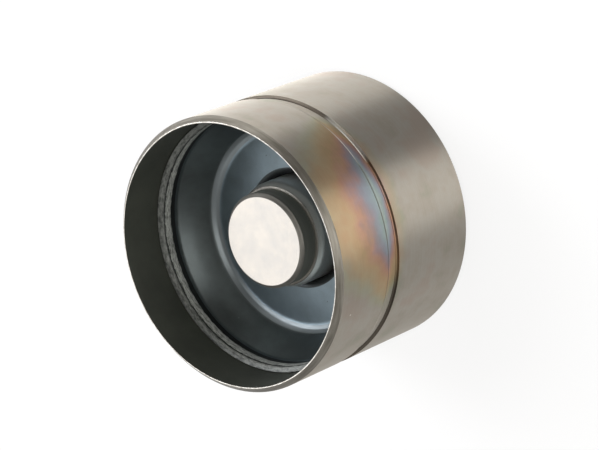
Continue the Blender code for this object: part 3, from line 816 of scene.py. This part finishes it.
# %% Finishes of the bucket
def finish_faces(piece, steels, rule, crease=28.0):
    """Give each face the steel that the rule names, and keep edges over crease degrees sharp."""
    piece.data.materials.clear()
    for steel in steels:
        piece.data.materials.append(steel)
    for face in piece.data.polygons:
        radius = math.hypot(face.center.x, face.center.y) / MM
        face.material_index = steels.index(rule(radius, face.center.z / MM, face.normal))
        face.use_smooth = True
    piece.data.set_sharp_from_angle(angle=math.radians(crease))
    print(piece.name, "faces by finish:", [
        sum(face.material_index == k for face in piece.data.polygons) for k in range(len(steels))
    ])


def shell_rule(radius, height, normal):
    if normal.z < -0.99 and height < 0.1:
        return FACE
    if height > BODY_TOP - 0.06 and normal.z > 0.85:
        return RUBBED
    if radius > MOUTH_R - 0.02 and height > BODY_TOP - RIM_CHAMFER - 0.01:
        return EDGE
    # Both borders of the groove, but not its floor: their steel is painted darker, as painted shade in the
    # groove's creases.
    if 16.9 < radius < BODY_R - 0.01 and (-0.1 < height - GROOVE_FOOT < 0.36 or 16.2 < height < 16.5):
        return SHADED_GROOVE
    if radius > BODY_R - FOOT_CHAMFER - 0.08 and height < FOOT_CHAMFER + 0.05:
        return EDGE
    return GROUND if radius > 17.0 else BORE


finish_faces(shell, [GROUND, EDGE, BORE, FACE, RUBBED, SHADED_GROOVE], shell_rule)
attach(shell, "bucket")
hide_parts("bucket_shell")

# %% [markdown]
# ## The insert
#
# A dish is pressed from 0.7 mm sheet and seated in the skirt by its flange, and its middle is drawn down to
# a sleeve. The middle line of the sheet is drawn first, with its bends, and both faces follow from it, so the
# sheet is equally thick all over. A Solidify modifier would give that too, but not the flange's sheared
# edge, which is turned in a little and has a torn band below it.

# %% Insert profile
CONE_TOP, CONE_ANGLE = 16.8, 60.5
flange_r = MOUTH_R - 0.05 - SHEET / 2
flat_height = DISH_FLOOR - SHEET / 2
sleeve_r = SLEEVE_BORE + SHEET / 2
cone_foot = flange_r - (CONE_TOP - flat_height) / math.tan(math.radians(CONE_ANGLE))
middle = rounded([
    (flange_r, FLANGE_TOP - 2.2, 0), (flange_r, CONE_TOP, 1.85), (cone_foot, flat_height, 2.2),
    (sleeve_r, flat_height, 0.6), (sleeve_r, SLEEVE_END + 0.05, 0),
], 4.0)
faces = sheet_profile(middle, SHEET)
outer_face, inner_face = sorted(faces, key=lambda face: -face[0][0])
# The nose of the press tool leaves a fine line along the lower bend.
LINE_DEPTH, LINE_WIDTH = 0.03, 0.14
corner = Vector((cone_foot, flat_height))
inner_face = [Vector(p) for p in inner_face]
nose = min(inner_face, key=lambda p: (p - corner).length)
into = (corner - nose).normalized() * LINE_DEPTH
inner_face = [tuple(p + into * math.exp(-((p - nose).length / LINE_WIDTH) ** 2)) for p in inner_face]
inner_r, outer_r = flange_r - SHEET / 2, flange_r + SHEET / 2
torn_edge = rounded([
    (inner_r + 0.05, 17.8, 0), (inner_r + 0.05, 17.96, 0.02), (inner_r, 18.04, 0.04), (inner_r, 18.9, 0.05),
    (inner_r + 0.02, 19.12, 0.04), (inner_r + 0.08, 19.24, 0.03), (inner_r, 19.38, 0.04),
    (inner_r + 0.12, 19.5, 0.05), (inner_r + 0.35, 19.66, 0.05), (outer_r - 0.08, FLANGE_TOP, 0.04),
    (outer_r, FLANGE_TOP - 0.06, 0.03), (outer_r, FLANGE_TOP - 0.5, 0),
], 20.0)
insert_profile = torn_edge + outer_face + inner_face[::-1]
print("insert profile:", len(insert_profile), "points, flange %.2f mm across" % (2 * outer_r))

# %% Insert
def insert_rule(radius, height, normal):
    # The sheared edge, and under it the flange's inside wall, which this steel paints near black as a painted
    # shadow.
    if height > 17.3 and radius < outer_r - 0.01:
        return SHEARED_EDGE_AND_SHADOW
    # The edge of the hole and the sleeve, painted near black as painted shade.
    if radius < 7.85:
        return DRAWN_EDGE_SHADE
    # The lower bend, painted lighter as a painted highlight.
    if radius < 14.5 and 0.66 < normal.z < 0.97:
        return BENT_HIGHLIGHT
    return FLAT if radius < 13.0 and normal.z > 0.97 else INSERT


insert = turned("guide_dish", insert_profile, INSERT, closed=True, torn=(17.9, 19.7, 16.4), waviness=0.16)
finish_faces(insert, [INSERT, SHEARED_EDGE_AND_SHADOW, DRAWN_EDGE_SHADE, FLAT, BENT_HIGHLIGHT], insert_rule, 40.0)
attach(insert, "bucket")
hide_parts("guide_insert")

# %% [markdown]
# ## The cup of the hydraulic element
#
# Its closed end carries the pad that meets the valve stem. Below the pad come a narrow chamfer, a neck and a
# round shoulder, and the turning tool left a narrow, round lip where neck and shoulder meet. Near its open
# end a groove holds the retaining ring. The shoulder is more than a broken edge, so its arc is written out.

# %% Cup
SHOULDER_R, SHOULDER_STEP, SHOULDER_TOP, LIP = 2.0, 0.7, PAD_TOP - 2.45, PAD_TOP - 2.65
BREAK, PAD_CHAMFER, RING_LOW, RING_HIGH, RING_DEPTH = 0.3, 0.45, CUP_END + 0.45, CUP_END + 1.25, 0.4
lean = math.acos((SHOULDER_R - SHOULDER_STEP) / SHOULDER_R)
shoulder = []
for k in range(15):
    angle = lean * k / 14
    r = CUP_R - SHOULDER_R + SHOULDER_R * math.cos(angle)
    if r > NECK_R + 0.5:
        shoulder.append((r, SHOULDER_TOP - SHOULDER_R * (math.sin(lean) - math.sin(angle)), 0.0))
shoulder += [(NECK_R + 0.26, LIP, 0.4), (NECK_R, LIP, 0.03)]
cup_corners = [
    (0.0, CUP_CEILING, 0), (CUP_BORE, CUP_CEILING, 0.4), (CUP_BORE, CUP_END + BREAK, 0.05),
    (CUP_BORE + BREAK, CUP_END, 0.05), (CUP_R - BREAK, CUP_END, 0.05), (CUP_R, CUP_END + BREAK, 0.05),
    (CUP_R, RING_LOW, 0.03), (CUP_R - RING_DEPTH, RING_LOW, 0.05), (CUP_R - RING_DEPTH, RING_HIGH, 0.05),
    (CUP_R, RING_HIGH, 0.03), *shoulder,
    (NECK_R, PAD_TOP - PAD_CHAMFER, 0.07), (PAD_EDGE_R, PAD_TOP, 0.03), (0.0, PAD_TOP, 0),
]


def cup_rule(radius, height, normal):
    outside = radius > CUP_BORE + 0.5
    if height > PAD_TOP - 0.02 and normal.z > 0.97:
        return PAD
    if height > PAD_TOP - PAD_CHAMFER - 0.01 or outside and LIP - 0.11 < height < LIP + 0.01:
        return STONED
    return NECK if outside and height > LIP else CUP


cup = turned("element_cup_fine", rounded(cup_corners, 9.0), CUP, steps=192)
finish_faces(cup, [CUP, PAD, STONED, NECK], cup_rule)
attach(cup, "cup")
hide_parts("element_cup")

# %% [markdown]
# ## Springs and ring
#
# Both springs come from the wound-wire tree, and so does the retaining ring, as a coil of less than one turn
# and no height. When the element is pressed in, the return spring shortens. Each coil gets a mesh of its own
# here. Winding it anew in each pose would keep the wire round, but a saved model can't do that.

# %% Springs and retaining ring
def wound(name, node, body, steel, radius, base, height, turns, wire, ends=0.0, pitch=0.0, start=0.0):
    """Wound wire that stands for a node of the part. Sizes in millimetres, start in degrees."""
    piece = run_tree(name, WOUND, bpy.data.meshes.new(name), {
        "Coil radius": radius * MM, "Height": height * MM, "Turns": turns, "End turns": ends,
        "End pitch": pitch * MM, "Wire": wire * MM, "Base": base * MM, "Points a turn": 48,
        "Wire sides": 16, "Steel": steel,
    })
    piece.data.transform(Matrix.Rotation(math.radians(start), 4, "Z"))
    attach(piece, body)
    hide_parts(node)
    print(name, len(piece.data.polygons), "faces")
    return piece


return_coil = wound(
    "return_coil", "return_spring", "element", WIRE, radius=3.75, base=11.05, height=5.0506,
    turns=3.5, wire=0.7, ends=0.5, pitch=0.75,
)
check_coil = wound(
    "check_coil", "check_spring", "element", WIRE, radius=1.0, base=12.034, height=0.9766,
    turns=3.0, wire=0.18,
)
for coil, joint, still, length, travel in (
    (return_coil, "cup_slide", 10.7, 5.8, 2.4),
    (check_coil, "ball_lift", 13.1, 1.15, 0.3),
):
    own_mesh(coil)
wound(
    "stop_ring", "retaining_ring", "cup", RING, radius=6.8, base=6.15, height=0.0,
    turns=320 / 360, wire=0.7, start=20,
)

# %% [markdown]
# ## Pieces that keep their own shape
#
# Plunger, ball and ball cage are hidden inside. They could be turned anew like the cup, but their shapes in
# the part are right, so they only get the finishes of their steels.

# %% Finishes of the inner pieces
for node, steel in (("plunger", PLUNGER), ("check_ball", BALL), ("ball_retainer", STRIP)):
    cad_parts[node].data.materials.clear()
    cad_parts[node].data.materials.append(steel)
    print(node, "is dressed in", steel.name)

# %% [markdown]
# ## Studio: floor
#
# The tappet stands on a plain pale floor. Under a real lamp such a floor turns grey and blotchy in the
# picture. This one glows by four fifths for the camera and in reflections, and is plain paint for the rest,
# which keeps it white and leaves a soft shadow. From below it is clear, to show the cam face.

# %% Floor
paint, tree = new_material("pale_floor")
path = add(tree, "ShaderNodeLightPath", out=None)
seen = add(tree, "MAXIMUM", (path["Is Camera Ray"], path["Is Glossy Ray"]))
seen = add(tree, "MAXIMUM", (seen, path["Is Transmission Ray"]))
share = add(tree, "MULTIPLY", (seen, 0.8))
dull = add(tree, "ShaderNodeBsdfDiffuse", {"Color": linear("#E4E3E1")})
glow = add(tree, "ShaderNodeEmission", {"Color": linear("#FFFFFF"), "Strength": 1.0})
both = add(tree, "ShaderNodeMixShader", (share, dull, glow))
side = add(tree, "ShaderNodeNewGeometry", out="Backfacing")
clear = add(tree, "ShaderNodeBsdfTransparent")
shown = add(tree, "ShaderNodeMixShader", (side, both, clear))
add(tree, "ShaderNodeOutputMaterial", {"Surface": shown})

HALF = 3.0  # metres
below = -0.02 * MM
floor_mesh = bpy.data.meshes.new("floor")
corners = [(-HALF, -HALF, below), (HALF, -HALF, below), (HALF, HALF, below), (-HALF, HALF, below)]
floor_mesh.from_pydata(corners, [], [(0, 1, 2, 3)])
floor_mesh.materials.append(paint)
floor = new_object("floor", floor_mesh)
print("floor: %.0f m square" % (2 * HALF))

# %% [markdown]
# ## Studio: room
#
# Steel shows the room more than its own colour. A picture of a real room could light it, but a few numbers do
# as well and can be changed. Round the horizon the room is white. Above that come walls that are lighter and
# darker by their bearing, low down and higher up, and a bright ceiling that fades overhead.

# %% Room
# Where each wall starts and ends, as a share of the way round, and its colour: low down, then higher up.
LOW = [
    (0.010, 0.146, "#A1A1A0"), (0.160, 0.285, "#EDECEA"), (0.299, 0.430, "#0E0C0A"), (0.438, 0.495, "#FFFEFC"),
    (0.505, 0.660, "#DBDBDB"), (0.676, 0.812, "#4B4B4B"), (0.826, 1.0, "#727272"),
]
HIGH = [
    (0.010, 0.146, "#666666"), (0.160, 0.285, "#CFCECC"), (0.299, 0.430, "#0E0C0A"), (0.442, 0.492, "#737373"),
    (0.508, 0.660, "#B4B4B4"), (0.676, 0.812, "#292929"), (0.826, 1.0, "#939393"),
]
world = bpy.data.worlds.new("bright_room")
bpy.context.scene.world = world
world.use_nodes = True
tree = world.node_tree
tree.nodes.clear()
place = add(tree, "ShaderNodeTexCoord", out="Generated")
x, y, rise = add(tree, SPLIT, (place,), None)
bearing = add(tree, "ARCTAN2", (y, x))
bearing = add(tree, RANGE, (bearing, -math.pi, math.pi))
low_walls, high_walls = [
    add(tree, RAMP, (bearing,), stops=[(0.0, walls[-1][2])] + [
        (end, code) for first, last, code in walls for end in (first, last)
    ])
    for walls in (LOW, HIGH)
]
# Soft borders by height, the zenith being 1: horizon, lower and higher walls, strength of the light overhead.
horizon, belt, strength = [
    add(tree, RANGE, (rise, *borders), interpolation_type="SMOOTHSTEP")
    for borders in ((0.09, 0.16, 0.0, 1.0), (0.38, 0.5, 0.0, 1.0), (0.80, 0.90, 4.5, 1.8))
]
walls = add(tree, MIX, {0: belt, 6: low_walls, 7: high_walls}, **BLEND)
pale = add(tree, "ShaderNodeBackground", {"Color": linear("#FFFFFF"), "Strength": 1.0})
lit = add(tree, "ShaderNodeBackground", {"Color": walls, "Strength": strength})
light = add(tree, "ShaderNodeMixShader", (horizon, pale, lit))
add(tree, "ShaderNodeOutputWorld", {"Surface": light})
print("room:", len(LOW), "walls,", len(tree.nodes), "nodes")

# %% [markdown]
# ## Studio: lamps
#
# Three soft lamps give the highlights: one over the rim, behind the tappet as the camera sees it, a tall cool
# window at the right, and a weak strip at the front. Each is sized by the angle that it fills, seen from the
# tappet, because that is what a shiny part shows.

# %% Lamps
LAMP_AWAY, LAMP_AIM = 0.9, Vector((0.0, 0.0, 0.013))  # metres


def soft_lamp(name, bearing, rise, wide, high, radiance, colour="#FFFFFF"):
    """Area lamp that looks at the tappet. Angles are degrees, and radiance 1 shows as white in a mirror."""
    turn, lift = math.radians(bearing), math.radians(rise)
    spot = Vector((math.cos(turn) * math.cos(lift), math.sin(turn) * math.cos(lift), math.sin(lift)))
    lamp = bpy.data.lights.new(name, "AREA")
    lamp.shape = "RECTANGLE"
    lamp.size = 2 * LAMP_AWAY * math.tan(math.radians(wide / 2))
    lamp.size_y = 2 * LAMP_AWAY * math.tan(math.radians(high / 2))
    lamp.energy = radiance * math.pi * lamp.size * lamp.size_y
    lamp.color = linear(colour)[:3]
    holder = new_object(name, lamp)
    holder.location = spot * LAMP_AWAY + LAMP_AIM
    holder.rotation_mode = "QUATERNION"
    holder.rotation_quaternion = spot.to_track_quat("Z", "Y")


soft_lamp("over_the_rim", 90, 46, 40, 36, 1.35)
soft_lamp("window", 40, 38, 20, 60, 5.9, "#F3F7FF")
soft_lamp("strip_at_the_front", 258, 22, 26, 30, 0.9, "#FFFDF9")

# %% [markdown]
# ## Last step
#
# Colours should come out as they are written. A filmic view would grey them, so the view transform is
# Standard.

# %% Finish
bpy.context.scene.view_settings.view_transform = "Standard"
